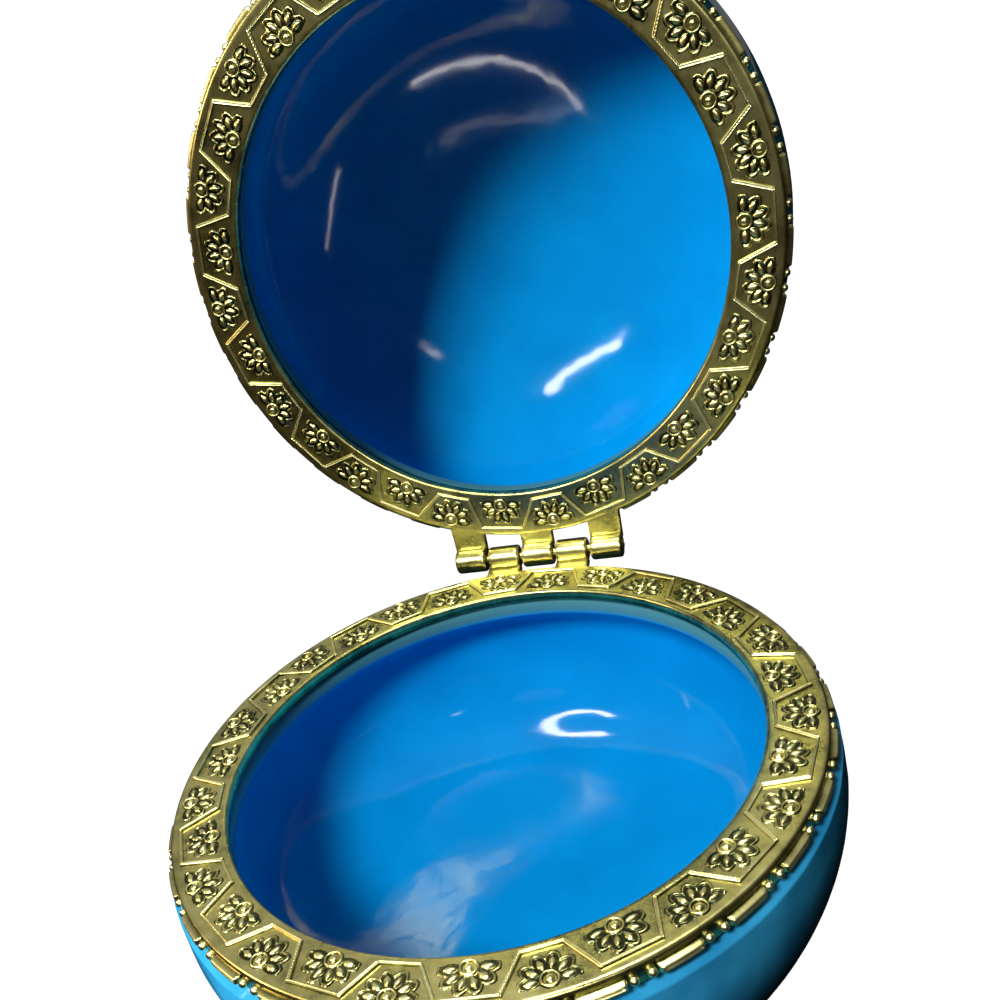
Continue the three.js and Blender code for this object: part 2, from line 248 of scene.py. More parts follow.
def shell_outline(bulge, depth, belly, square, inner_depth, inner_square):
    """(r, z) from the axis below, over the outside, the lip and the inside, to the axis."""
    lowest = min(depth - BULGE_DEPTH, belly)
    height = lowest * np.cos(np.linspace(0, np.pi / 2, 60))
    side = np.stack([oval(bulge, belly, square, height), -BULGE_DEPTH - height], -1)
    over = np.linspace(0, BULGE_DEPTH - SEAT, 12)[1:]
    shoulder = np.stack([oval(bulge, SHOULDER_BELLY, SHOULDER_SQUARE, over),
                         -BULGE_DEPTH + over], -1)
    edge = [[LIP_OUT, -SEAT], [LIP_OUT, -LIP_TOP], [LIP_IN, -LIP_TOP]]
    turn_in = [[THROAT + 0.3, -LIP_TOP], [THROAT, -LIP_TOP - 0.3]]
    quarter = np.linspace(0, np.pi / 2, 14)
    neck = np.stack([THROAT + (bulge - WALL - THROAT) * np.sin(quarter),
                     -BULGE_DEPTH + (BULGE_DEPTH - THROAT_END) * np.cos(quarter)], -1)
    inner_height = inner_depth - BULGE_DEPTH
    down = inner_height * np.sin(np.linspace(0, np.pi / 2, 60))[1:]
    bowl = np.stack([oval(bulge - WALL, inner_height, inner_square, down),
                     -BULGE_DEPTH - down], -1)
    outside = np.concatenate([side, shoulder])
    foot_radius = side[0, 0]
    if foot_radius > 1:
        foot = [[0, -depth + FOOT_RECESS],
                [foot_radius - FOOT_WIDTH - FOOT_SLOPE, -depth + FOOT_RECESS],
                [foot_radius - FOOT_WIDTH, -depth]]
        outside = np.concatenate([foot, outside])
    outside = softened(spaced(outside, OUTSIDE_POINTS), 2)
    inside = softened(spaced(np.concatenate([turn_in, neck, bowl]), INSIDE_POINTS), 6)
    outside[0, 0], inside[-1, 0] = 0, 0
    return np.concatenate([outside, edge, inside])


for half in HALVES:
    print(half, "outline:", shell_outline(**SHELLS[half]).shape[0], "points")

# %% [markdown]
# ## Glaze on the shells
# The glaze gathers in soft lumps under the ring and leaves the ring that the box stands on
# bare. Over the lip a dark teal is painted: painted shade with a painted greenish reflection of
# the gold ring. The lumps are real shape, so that they catch the light. The colours aren't:
# each point only carries how far it is inside the bowl, on the lip or on the bare foot, and
# the material mixes its colours from those. Painting by hand would do as well, but wouldn't
# follow a change of size.

# %% The two shells
LUMPS_AT, LUMPS_SPREAD, LUMP, RIPPLE = 4.2, 1.6, 0.05, 0.012
LIP_SHADE_END, LIP_FADE, BARE_HEIGHT = 3.1, 0.6, 0.12


def shell(half):
    """The outline turned round Z. Outside, the radius shrinks by (LUMP * near + RIPPLE) *
    (1 + waves / 3), where near is a bell curve of the height and waves is a sum of sines."""
    outline = shell_outline(**SHELLS[half])
    points, faces = turned(outline, TURN_STEPS)
    last = len(outline) - 3
    along = np.concatenate([np.tile(np.arange(last + 1), TURN_STEPS), [0, last]])
    outside = along < OUTSIDE_POINTS - 1
    angle, radius = np.arctan2(points[:, 1], points[:, 0]), np.hypot(points[:, 0], points[:, 1])
    depth = -points[:, 2]
    near = np.exp(-((depth - LUMPS_AT) / LUMPS_SPREAD) ** 2)
    waves = (np.sin(23 * angle + 3 * np.sin(5 * angle)) + np.sin(41 * angle - 2.1 * depth)
             + np.sin(13 * angle + 1.7))
    sunk = np.where(outside, (LUMP * near + RIPPLE) * (1 + waves / 3), 0)
    points[:, :2] *= ((radius - sunk) / np.maximum(radius, 1e-6))[:, None]
    within = np.hypot(points[:, 0], points[:, 1]) < LIP_OUT - 0.1
    inside = np.where(within & ~outside, 1.0, 0.0)
    # lip marks where the dark teal of painted shade and painted reflection of the gold goes, fading
    # out with depth.
    lip = inside * np.clip((LIP_SHADE_END - depth) / LIP_FADE, 0, 1)
    bare = np.where((half == "base") & (depth > BASE_HEIGHT - BARE_HEIGHT), 1.0, 0.0)
    return new_mesh(half + "_ceramic", points, faces, half, inside=inside, lip=lip, bare=bare)


ceramics = {half: shell(half) for half in HALVES}

# %% [markdown]
# ## The cast rings
# Each ring is a casting with a short collar that lines the opening, a flat face and a skirt
# over the edge of the ceramic. Its edges are polished round, so the outline gets rounded
# corners before it is turned. A bevel on a lathed mesh would do the same, but here each
# corner has its own radius. Each point also carries a number from 0 to 1 for how rubbed and
# how shaded it is: most on the plain borders, little on the ground of the relief, where the
# dark is patina with painted shade, and least on the skirt, where it is painted shade.

# %% The casting under the relief
RING_CORNERS = [
    (OPENING, -1.15), (SKIRT_IN, -1.15), (SKIRT_IN, -SKIRT_DEPTH),
    (SKIRT_OUT, -SKIRT_DEPTH), (SKIRT_OUT, 0), (OPENING, 0)]
RING_REACH = [0.25, 0.1, 0.1, 0.2, 0.42, 0.35]
# The ground's low number is patina with painted shade between the reliefs; the skirt's lowest
# number is painted shade on the outer side.
GROUND_PATINA_AND_SHADE, WORN_CURVE, WORN_BORDER, SKIRT_SHADE = 0.17, 0.4, 0.52, 0.14
BORDER_GAP, SKIRT_TOP = 0.2, 0.6


def casting(half):
    """The rounded outline turned round Z in 360 steps."""
    points, faces = ring_of(rounded(RING_CORNERS, RING_REACH), 360)
    radius, depth = np.hypot(points[:, 0], points[:, 1]), -points[:, 2]
    border = (radius < MEANDER_IN - BORDER_GAP) | (radius > MEANDER_OUT + BORDER_GAP)
    # Face between the reliefs darker: patina and painted shade; skirt darker still: painted shade.
    worn = np.where(np.abs(depth) < 0.02, GROUND_PATINA_AND_SHADE, WORN_CURVE)
    worn = np.where(border, WORN_BORDER, worn)
    worn = np.where(depth > SKIRT_TOP, SKIRT_SHADE, worn)
    return new_mesh(half + "_ring_casting", points, faces, half, worn=worn)


castings = {half: casting(half) for half in HALVES}

# %% [markdown]
# ## Relief as slabs
# The relief stands up from the face. Each raised shape is a small slab: a grid of points
# whose height is worked out from where the point lies, with its border sunk under the face,
# and a row below at each side that closes it. The heights of all slabs of a kind come from
# one formula on one big array. Sculpting would give the same look, but thirty flowers would
# then have to be copied and bent round the ring.

# %% A slab from a grid of surface points
SUNK, UNDER = 0.06, -0.2


def slabs(name, half, top, under, **values):
    """Closes grids of surface points (pieces, rows, columns, 3): the first and last column are
    repeated at the place `under`, so that every row is a closed outline."""
    first, last = under[:, :, :1], under[:, :, -1:]
    outline = np.concatenate([top, last, first], axis=2)
    pieces, rows, columns = outline.shape[:3]
    wide = {key: np.concatenate([v, v[:, :, -1:], v[:, :, :1]], axis=2).ravel()
            for key, v in values.items()}
    return new_mesh(name, outline, tube_faces(pieces, rows, columns), half, **wide)


def face_slabs(name, half, flat, height, worn):
    """Slabs on the flat face: (x, y) from `flat`, z from `height`, closed at z = UNDER."""
    top = np.concatenate([flat, height[..., None]], -1)
    under = np.concatenate([flat, np.full_like(height, UNDER)[..., None]], -1)
    return slabs(name, half, top, under, worn=worn)


def smooth_step(x):
    """0 below 0, 1 above 1, and 3x^2 - 2x^3 between."""
    x = np.clip(x, 0, 1)
    return x * x * (3 - 2 * x)


print("smooth_step at 0, 1/4, 1/2 and 1:", smooth_step(np.array([0, 0.25, 0.5, 1])))

# %% [markdown]
# ## The meander
# The face is split into thirty trapezoids by bars that run along the outer edge, slant
# inwards, run along the inner edge and slant out again. Looked at closely each bar is a pair
# of ridges with a fine twisted cord between them. A bar is straight, so it is drawn along its
# own length s and across its width t.

# %% Corners of the meander
IN_INSET, OUT_INSET = np.radians(2.25), np.radians(1.3)


def meander_corners(turn):
    """The corners in order: inner, outer, outer, inner for every two panels, with each corner
    stepping into its panel by the inset."""
    start = turn + 2 * PANEL * np.arange(PANELS // 2)[:, None]
    angle = start + np.array([-IN_INSET, OUT_INSET, PANEL - OUT_INSET, PANEL + IN_INSET])
    radius = np.array([MEANDER_IN, MEANDER_OUT, MEANDER_OUT, MEANDER_IN])
    return np.stack([radius * np.cos(angle), radius * np.sin(angle)], -1).reshape(-1, 2)


print("corners of a meander:", len(meander_corners(0)))

# %% Bars of the meander
BAR_HALF, BAR_HEIGHT, BAR_REACH, BAR_SIDE, BAR_END = 0.235, 0.25, 0.188, 0.11, 0.16
STRAIGHT_SLIM, GROOVE, GROOVE_HALF = 0.72, 0.42, 0.075
CORD, CORD_PITCH, CORD_SLANT = 0.03, 0.30, 0.25
BAR_FOOT_PATINA_AND_SHADE, BAR_WORN_HIGH = 0.05, 0.95


def bars(half, rows=64, columns=11):
    """Height of a bar: (BAR_HEIGHT * (1 - GROOVE g) + cord) * edge - SUNK * (1 - edge), where
    edge falls to nothing at the sides and ends, g is a bell curve across the middle and
    cord = CORD g (1 + sin(2 pi u)), u running slantwise. Slanted bars are full width, and
    those along the ring are slimmer."""
    corners = meander_corners(PATTERN_TURN[half])
    along = np.roll(corners, -1, axis=0) - corners
    length = np.linalg.norm(along, axis=1)
    along = (along / length[:, None])[:, None, None]
    across = np.stack([-along[..., 1], along[..., 0]], -1)
    span = length[:, None, None] + 2 * BAR_REACH
    s = np.linspace(0, 1, rows)[None, :, None] * span - BAR_REACH
    t = np.linspace(-1, 1, columns)[None, None, :] * BAR_HALF
    slim = np.where(np.arange(len(length)) % 2 == 0, 1.0, STRAIGHT_SLIM)[:, None, None]
    to_end = np.minimum(s + BAR_REACH, span - BAR_REACH - s)
    edge = smooth_step((BAR_HALF - np.abs(t)) / BAR_SIDE) * smooth_step(to_end / BAR_END)
    groove = np.exp(-(t / GROOVE_HALF) ** 2)
    cord = CORD * groove * (1 + np.sin(2 * np.pi * (s / CORD_PITCH + t / CORD_SLANT)))
    height = (BAR_HEIGHT * (1 - GROOVE * groove) + cord) * edge - SUNK * (1 - edge)
    flat = corners[:, None, None] + s[..., None] * along + (t * slim)[..., None] * across
    # Low parts of a bar get a dark olive, patina with painted shade; the tops get the bright rubbed
    # gold.
    worn = BAR_FOOT_PATINA_AND_SHADE + (BAR_WORN_HIGH - BAR_FOOT_PATINA_AND_SHADE) * np.clip(height / BAR_HEIGHT, 0, 1)
    return face_slabs(half + "_ring_bars", half, flat, height, worn)


meanders = {half: bars(half) for half in HALVES}

# %% [markdown]
# ## The flowers
# In every trapezoid half a daisy opens towards the bar: a domed button with a ring round it,
# six pointed petals in a fan, and a scalloped line that follows the petals. A petal could be
# modelled once and copied, but the petals melt into each other as they do in a casting, so
# the height is the highest of all the shapes at each point. Behind the petals lies a low
# pocket, which the material darkens with patina and painted shade.

# %% Height of one flower
TIP_ANGLES = np.radians([-90, -54, -18, 18, 54, 90])
BUTTON_R, BUTTON_TALL = 0.36, 0.27
COLLAR_R, COLLAR_HALF, COLLAR_TALL = 0.66, 0.1, 0.24
PETAL_START, PETAL_END, PETAL_HALF, PETAL_TALL = 0.8, 2.02, 0.36, 0.21
LOBE_MIDDLE, LOBE_LONG, LOBE_WIDE, SCALLOP_HALF, SCALLOP_TALL = 1.4, 0.93, 0.56, 0.09, 0.13
SCALLOP_FROM, SCALLOP_BACK, SCALLOP_FADE = 0.85, 0.45, 0.3
POCKET, NOWHERE = 0.018, -9.0


def flower_height(x, y):
    """Highest of the button, its collar, the petals, the scalloped line and the pocket, at x
    towards the bar and y along the ring. A petal runs along a, its half width is w =
    PETAL_HALF sin(pi u)^0.8 with u from 0 to 1 along it, and inside it the height rises as
    1 - (1 - depth)^2, depth being the way in from its edge. The line follows a ring of
    ellipses, one round each petal."""
    r = np.hypot(x, y)
    button = BUTTON_TALL * np.sqrt(np.clip(1 - (r / BUTTON_R) ** 2, 0, 1))
    collar = COLLAR_TALL * np.exp(-((r - COLLAR_R) / COLLAR_HALF) ** 2)
    petals, lobes = np.full_like(x, NOWHERE), np.full_like(x, NOWHERE)
    for angle in TIP_ANGLES:
        a, b = x * np.cos(angle) + y * np.sin(angle), y * np.cos(angle) - x * np.sin(angle)
        u = (a - PETAL_START) / (PETAL_END - PETAL_START)
        half_width = PETAL_HALF * np.sin(np.pi * np.clip(u, 0, 1)) ** 0.8
        beyond = (np.maximum(0, -u) + np.maximum(0, u - 1)) * (PETAL_END - PETAL_START)
        depth = half_width - np.abs(b) - beyond
        body = PETAL_TALL * (1 - (1 - np.clip(depth / PETAL_HALF, 0, 1)) ** 2)
        petals = np.maximum(petals, np.where(depth > 0, body, NOWHERE))
        away = np.hypot((a - LOBE_MIDDLE) / LOBE_LONG, b / LOBE_WIDE)
        lobes = np.maximum(lobes, 0.5 - 0.5 * away)
    scallop = SCALLOP_TALL * np.exp(-(lobes / SCALLOP_HALF) ** 2)
    scallop = scallop * smooth_step((r - SCALLOP_FROM) / SCALLOP_FADE)
    scallop = scallop * smooth_step((x + SCALLOP_BACK) / SCALLOP_FADE)
    pocket = np.where(lobes > 0, POCKET, NOWHERE)
    return np.maximum.reduce([button, collar, petals, scallop, pocket])


print("height at the middle of a flower, mm:", flower_height(np.zeros(1), np.zeros(1)))

# %% Thirty flowers on each ring
FLOWER_SHIFT, FLOWER_BACK, FLOWER_FRONT, FLOWER_HALF = 1.2, 0.85, 2.5, 2.45
LOWEST_SHOWN, BORDER_FADE, BORDER_SUNK = 0.012, 0.1, 0.05
WEAR_SHADE_FROM, WORN_OVER, WORN_MOST = 0.04, 0.16, 0.85


def flowers(half, rows=42, columns=62):
    """One grid of heights, set into the thirty panels and turned to face the bar of each. What
    lies under LOWEST_SHOWN sinks into the face, and so does the border of the grid."""
    x, y = np.meshgrid(np.linspace(-FLOWER_BACK, FLOWER_FRONT, rows),
                       np.linspace(-FLOWER_HALF, FLOWER_HALF, columns), indexing="ij")
    height = flower_height(x, y)
    border = np.minimum.reduce([x + FLOWER_BACK, FLOWER_FRONT - x, FLOWER_HALF - np.abs(y)])
    fade = smooth_step(border / BORDER_FADE)
    height = np.where(height > LOWEST_SHOWN, height, -SUNK) * fade
    height = np.minimum(height, height * fade - SUNK * (border < BORDER_SUNK))
    panel = np.arange(PANELS)
    to_bar = np.where(panel % 2 == 0, 1.0, -1.0)
    angle = PATTERN_TURN[half] + (panel + 0.5) * PANEL
    seat = (MEANDER_IN + MEANDER_OUT) / 2 - to_bar * FLOWER_SHIFT
    out = np.stack([np.cos(angle), np.sin(angle)], -1)[:, None, None]
    side = np.stack([-out[..., 1], out[..., 0]], -1)
    seat, to_bar = seat[:, None, None, None], to_bar[:, None, None, None]
    flat = seat * out + to_bar * x[..., None] * out + to_bar * y[..., None] * side
    tall = np.broadcast_to(height, (PANELS,) + height.shape)
    # Points lower than the petals, the pocket among them, get the darkest number: patina with
    # painted shade round the petals.
    worn = np.clip((tall - WEAR_SHADE_FROM) / WORN_OVER, 0, 1) * WORN_MOST
    return face_slabs(half + "_ring_flowers", half, flat, tall, worn)


blossoms = {half: flowers(half) for half in HALVES}

# %% [markdown]
# ## The band round the skirt
# Round the outside runs a band of long rounded bars with a pair of beads between each two.
# The band stops at the hinge. A bar lies on the skirt, so it is drawn by angle and height,
# and the relief stands out along the radius. The beads are small balls, partly sunk in the
# skirt. Blender has a sphere of its own, but a hundred of them are quicker as one array.

# %% Bars of the band
BAND_DEPTH, BAND_HEIGHT, BAND_OUT = 1.25, 0.86, 0.56
BAND_SIDE, BAND_END, BAND_SUNK = 0.2, 0.3, 0.05
BAND_GROOVE, BAND_GROOVE_HALF, BAND_GROOVE_FROM, BAND_GROOVE_FADE = 0.38, 0.09, 0.25, 0.2
BAND_SPAN, HINGE_WIDTH = np.radians(7.5), 19.4


def clear_of_hinge(angle, span):
    """True where something of that span stays off the arms at the back."""
    away = np.abs((angle - np.pi / 2 + np.pi) % (2 * np.pi) - np.pi)
    return away > np.arctan2(HINGE_WIDTH / 2, SKIRT_OUT) + span / 2


def band_bars(half, rows=34, columns=15):
    """Radius of a bar: low + (BAND_OUT + BAND_SUNK) * edge * (1 - BAND_GROOVE g), where low
    lies BAND_SUNK inside the skirt, edge falls to nothing at the border, and g is a bell curve
    across the middle that stops short of the ends."""
    angle = PATTERN_TURN[half] + np.arange(PANELS) * PANEL
    angle = angle[clear_of_hinge(angle, BAND_SPAN)]
    s = np.linspace(-0.5, 0.5, rows)[None, :, None] * BAND_SPAN
    t = np.linspace(-0.5, 0.5, columns)[None, None, :] * BAND_HEIGHT
    to_end, to_side = (BAND_SPAN / 2 - np.abs(s)) * SKIRT_OUT, BAND_HEIGHT / 2 - np.abs(t)
    edge = np.sqrt(smooth_step(to_side / BAND_SIDE) * smooth_step(to_end / BAND_END))
    groove = np.exp(-(t / BAND_GROOVE_HALF) ** 2)
    groove = groove * smooth_step((to_end - BAND_GROOVE_FROM) / BAND_GROOVE_FADE)
    rise = (BAND_OUT + BAND_SUNK) * edge * (1 - BAND_GROOVE * groove)
    radius = SKIRT_OUT - BAND_SUNK + rise
    around = angle[:, None, None] + s + 0 * t
    height = -BAND_DEPTH + t + 0 * around
    top, under = (np.stack([r * np.cos(around), r * np.sin(around), height], -1)
                  for r in (radius, SKIRT_OUT + UNDER))
    # A bar is darker at its sides and in its groove, as patina with painted shade, and bright on
    # top.
    worn = np.broadcast_to(0.1 + 0.9 * edge * (1 - 0.5 * groove), around.shape)
    return slabs(half + "_band_bars", half, top, under, worn=worn)


# %% Beads of the band
BEAD_R, BEAD_OUT, BEAD_SPREAD = 0.39, 0.16, np.radians(2.7)


def beads(half, rings=12, around=20):
    """Balls: the half circle (cos v, sin v) * BEAD_R turned about Z, set with the middle
    BEAD_OUT outside the skirt."""
    middle = PATTERN_TURN[half] + (np.arange(PANELS) + 0.5) * PANEL
    middle = middle[clear_of_hinge(middle, BAND_SPAN)]
    angle = (middle[:, None] + np.array([-0.5, 0.5]) * BEAD_SPREAD).ravel()
    v = np.linspace(-np.pi / 2, np.pi / 2, rings + 1)
    ball, faces = turned(np.stack([np.cos(v), np.sin(v)], -1) * BEAD_R, around)
    far = SKIRT_OUT + BEAD_OUT
    centre = np.stack([far * np.cos(angle), far * np.sin(angle), 0 * angle - BAND_DEPTH], -1)
    shift = (np.arange(len(angle)) * len(ball))[:, None, None]
    faces = [(group[None] + shift).reshape(-1, group.shape[1]) for group in faces]
    return new_mesh(half + "_band_beads", centre[:, None] + ball[None], faces, half, worn=0.9)


bands = {half: (band_bars(half), beads(half)) for half in HALVES}

# %% [markdown]
# ## The hinge
# Five knuckles turn on one pin, three on the lid and two on the base. Each knuckle is a short
# tube with rounded ends at the end of a flat arm. The outline of the arm is swept along the
# pin and shrinks a little at both ends so that the edges catch the light. The bore is real, so
# the pin is seen where it comes out. Cutting the bore with a Boolean would leave long thin
# faces round it, so the tube is turned with its bore instead.

# %% One knuckle and one arm
KNUCKLE_WIDTH, KNUCKLE_STEP, KNUCKLE_R, BORE, ARM = 3.6, 3.95, 1.35, 0.85, 1.5
ARM_ROOT, ARM_TOP = float(np.sqrt(SKIRT_IN ** 2 - (HINGE_WIDTH / 2) ** 2)), -0.02
ARM_SOFT, ARM_SOFT_RUN = 0.12, 0.3


def about_pin(points, x_start=0.0):
    """Lays a shape turned about Z along the pin: (x, y, z) goes to (z, pin + x, pin + y)."""
    return np.stack([x_start + points[:, 2], HINGE_Y + points[:, 0], HALF_GAP + points[:, 1]],
                    -1)


def knuckle(x_start):
    """A tube along the pin: a ring outline from BORE to KNUCKLE_R, rounded outside, turned
    about the pin."""
    outline = rounded([(BORE, 0), (KNUCKLE_R, 0), (KNUCKLE_R, KNUCKLE_WIDTH),
                       (BORE, KNUCKLE_WIDTH)], [0.06, 0.38, 0.38, 0.06], 6)
    points, faces = ring_of(outline, 48)
    return about_pin(points, x_start), faces


def arm_plate(x_start):
    """A flat plate: a rounded outline in (y, z) carried along x, and pulled in by ARM_SOFT
    towards its middle at both ends. It stays off the bore and under the face."""
    outline = rounded([(ARM_ROOT, -ARM), (HINGE_Y - 0.2, -ARM + 0.55),
                       (HINGE_Y - 0.95, ARM_TOP), (ARM_ROOT, ARM_TOP)], [0.1, 0.3, 0.2, 0.1], 5)
    x = np.array([0, 0.05, 0.15, ARM_SOFT_RUN, KNUCKLE_WIDTH / 2])
    x = np.concatenate([x, KNUCKLE_WIDTH - x[::-1][1:]])
    pull = ARM_SOFT * (1 - smooth_step(np.minimum(x, KNUCKLE_WIDTH - x) / ARM_SOFT_RUN))
    to_middle = outline.mean(axis=0) - outline
    to_middle = to_middle / np.linalg.norm(to_middle, axis=1, keepdims=True)
    flat = outline[None] + pull[:, None, None] * to_middle[None]
    along = np.broadcast_to(x_start + x[:, None, None], flat.shape[:2] + (1,))
    points = np.concatenate([along, flat], -1).reshape(-1, 3)
    return points, tube_faces(1, len(x), len(outline))


print("the arms leave the skirt at y =", round(ARM_ROOT, 2), "mm")

# %% The arms of both halves, and the pin
PIN_R, PIN_LENGTH, PIN_DOME, PIN_STEPS = 0.55, HINGE_WIDTH + 0.4, 0.35, 32


def hinge_arms(half):
    """All plates and tubes of one half as one mesh: knuckles 0, 2 and 4 are the lid's."""
    all_points, all_faces, count = [], [], 0
    for k in range(0 if half == "lid" else 1, 5, 2):
        start = -HINGE_WIDTH / 2 + k * KNUCKLE_STEP
        for points, faces in (knuckle(start), arm_plate(start)):
            all_points.append(points)
            all_faces += [group + count for group in outwards(points, faces)]
            count += len(points)
    return new_mesh(half + "_hinge_arms", np.concatenate(all_points), all_faces, half, worn=0.5)


def pin():
    """A rod with domed ends: an outline from pole to pole turned about the pin."""
    bend = np.linspace(0, np.pi / 2, 8)
    end = np.stack([PIN_R * np.sin(bend), -PIN_LENGTH / 2 + PIN_DOME * (1 - np.cos(bend))], -1)
    points, faces = turned(np.concatenate([end, (end * [1, -1])[::-1]]), PIN_STEPS)
    return new_mesh("pin", about_pin(points), faces, "base", worn=0.6)


arms = {half: hinge_arms(half) for half in HALVES}
pin_rod = pin()

# %% [markdown]
# ## Every piece takes the place of its solid
# The lid's pieces ride on the lid and the others on the base, so the joint moves them. Each
# set of pieces stands for one solid. Joining a set into one mesh would work as well, but then
# the bars, flowers and beads could no longer be told apart.

# %% Ride and replace
metal = {half: [castings[half], meanders[half], blossoms[half], *bands[half], arms[half]]
         for half in HALVES}
for half in HALVES:
    for piece in metal[half]:
        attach(piece, half)
        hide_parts(half + "_rim")
    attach(ceramics[half], half)
    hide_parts(half + "_shell")
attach(pin_rod, "base")
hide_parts("hinge_pin")
print("pieces on each half:", {half: len(metal[half]) + 1 for half in HALVES}, "and the pin")

# %% [markdown]
# ## Nodes with less typing
# A material is a graph of nodes. Clicked together in the shader editor it is easy to see, and
# written out it is easy to keep. These helpers add a node, feed its sockets and hand back the
# socket that comes out, so that a material reads like a sum.

# %% Node helpers
SURFACE = [("Color", "NodeSocketColor"), ("Roughness", "NodeSocketFloat"),
           ("Normal", "NodeSocketVector")]


def new_group(name, inputs):
    """A shader group with the named numbers going in and a colour, a roughness and a normal
    coming out, and its two end nodes."""
    group = bpy.data.node_groups.new(name, "ShaderNodeTree")
    for label in inputs:
        group.interface.new_socket(label, in_out="INPUT", socket_type="NodeSocketFloat")
    for label, kind in SURFACE:
        group.interface.new_socket(label, in_out="OUTPUT", socket_type=kind)
    return group, group.nodes.new("NodeGroupInput"), group.nodes.new("NodeGroupOutput")


def add(tree, kind, **settings):
    """A new node; a setting that starts with in_, such as in_Scale, sets that input."""
    node = tree.nodes.new(kind)
    for key, value in settings.items():
        if key.startswith("in_"):
            node.inputs[key[3:]].default_value = value
        else:
            setattr(node, key, value)
    return node


def feed(tree, source, socket):
    """Links another node's socket, or sets a plain number or colour."""
    if isinstance(source, (float, tuple)):
        socket.default_value = source
    else:
        tree.links.new(source, socket)


def ramp(tree, factor, stops):
    """The colour at `factor` on a ramp with (position, colour) stops."""
    node = add(tree, "ShaderNodeValToRGB")
    elements = node.color_ramp.elements
    while len(elements) > 1:
        elements.remove(elements[-1])
    elements[0].position, elements[0].color = stops[0]
    for position, color in stops[1:]:
        elements.new(position).color = color
    tree.links.new(factor, node.inputs["Fac"])
    return node.outputs["Color"]


# %% Noise, sums, bumps and blends
def object_noise(tree, scale, detail, roughness=0.5):
    """Noise on Object coordinates, so that it stays on the piece when the piece moves."""
    node = add(tree, "ShaderNodeTexNoise", in_Scale=scale, in_Detail=detail,
               in_Roughness=roughness)
    place = add(tree, "ShaderNodeTexCoord")
    tree.links.new(place.outputs["Object"], node.inputs["Vector"])
    return node.outputs["Fac"]


def scaled(tree, value, factor, more):
    """value * factor + more."""
    node = add(tree, "ShaderNodeMath", operation="MULTIPLY_ADD")
    for source, socket in zip((value, factor, more), node.inputs):
        feed(tree, source, socket)
    return node.outputs[0]


def ranged(tree, value, low, high):
    """low where value is 0 and high where it is 1, in a straight line between."""
    node = add(tree, "ShaderNodeMapRange")
    node.inputs["To Min"].default_value, node.inputs["To Max"].default_value = low, high
    tree.links.new(value, node.inputs["Value"])
    return node.outputs["Result"]


def bumped(tree, height, strength, distance, normal=None):
    """A normal tilted by the slope of a height, on top of another normal where there is one."""
    node = add(tree, "ShaderNodeBump", in_Strength=strength, in_Distance=distance)
    tree.links.new(height, node.inputs["Height"])
    if normal is not None:
        tree.links.new(normal, node.inputs["Normal"])
    return node.outputs["Normal"]


def blend(tree, factor, under, over):
    """The colour `under` where factor is 0 and `over` where it is 1."""
    node = add(tree, "ShaderNodeMix", data_type="RGBA")
    for source, socket in zip((factor, under, over),
                              (node.inputs["Factor"], node.inputs[6], node.inputs[7])):
        feed(tree, source, socket)
    return node.outputs[2]


# %% Materials, empty and from a group
def new_material(name, color):
    """A material with an empty Principled shader, and a colour for the plain viewport."""
    material = bpy.data.materials.new(name)
    material.use_nodes = True
    material.diffuse_color = color
    return material, material.node_tree, material.node_tree.nodes["Principled BSDF"]


def surface_material(name, color, group):
    """A material whose shader takes colour, roughness and normal from a group. Each input of
    the group is fed by the number of the same name that the points carry."""
    material, tree, shader = new_material(name, color)
    effect = add(tree, "ShaderNodeGroup", node_tree=group)
    for socket in effect.inputs:
        value = add(tree, "ShaderNodeAttribute", attribute_name=socket.name)
        tree.links.new(value.outputs["Fac"], socket)
    for source, target in (("Color", "Base Color"), ("Roughness", "Roughness"),
                           ("Normal", "Normal")):
        tree.links.new(effect.outputs[source], shader.inputs[target])
    print(name, "reads", [socket.name for socket in effect.inputs])
    return material, shader


# %% [markdown]
# ## Gold tone with patina and painted shade in the hollows
# The ring is bright plating over a casting. Polish and touch keep the high places bright, and
# the low ground between them stays dark and a little olive, as patina and as painted shade.
# A number on every point says how rubbed and how shaded it is. Small clouds and wide patches
# of noise are added to it, as wear is never even, and the sum picks the colour and the
# roughness. The renderer could find the shade in the hollows by itself, but only slowly, and
# an export would lose it.

# %% The gold material
def gold_patina_shade_group():
    """The number on each point (0 in the hollows, 1 on the ridges) -> colour, roughness and a
    normal with fine grain on soft swells. Low numbers give a dark olive, patina with painted
    shade, and high ones bright rubbed gold."""
    group, start, end = new_group("gold with patina and painted shade", ["worn"])
    uneven = scaled(group, object_noise(group, 420.0, 8.0, 0.72), 1.3, -1.0)
    uneven = scaled(group, object_noise(group, 75.0, 1.0), 0.7, uneven)
    rubbed_and_shaded = add(group, "ShaderNodeMath", operation="ADD", use_clamp=True)
    group.links.new(start.outputs["worn"], rubbed_and_shaded.inputs[0])
    group.links.new(uneven, rubbed_and_shaded.inputs[1])
    # The dark end of this ramp is patina with painted shade in the hollows, the bright end rubbed
    # gold.
    color = ramp(group, rubbed_and_shaded.outputs[0],
                 [(0.0, (0.06, 0.065, 0.03, 1)), (0.25, (0.26, 0.25, 0.10, 1)),
                  (0.6, (0.66, 0.60, 0.23, 1)), (1.0, (0.94, 0.90, 0.46, 1))])
    grain = bumped(group, object_noise(group, 5200.0, 2.0), 0.1, 0.00001)
    swell = bumped(group, object_noise(group, 260.0, 0.0), 0.1, 0.0002, grain)
    group.links.new(color, end.inputs["Color"])
    group.links.new(ranged(group, rubbed_and_shaded.outputs[0], 0.25, 0.31), end.inputs["Roughness"])
    group.links.new(swell, end.inputs["Normal"])
    return group


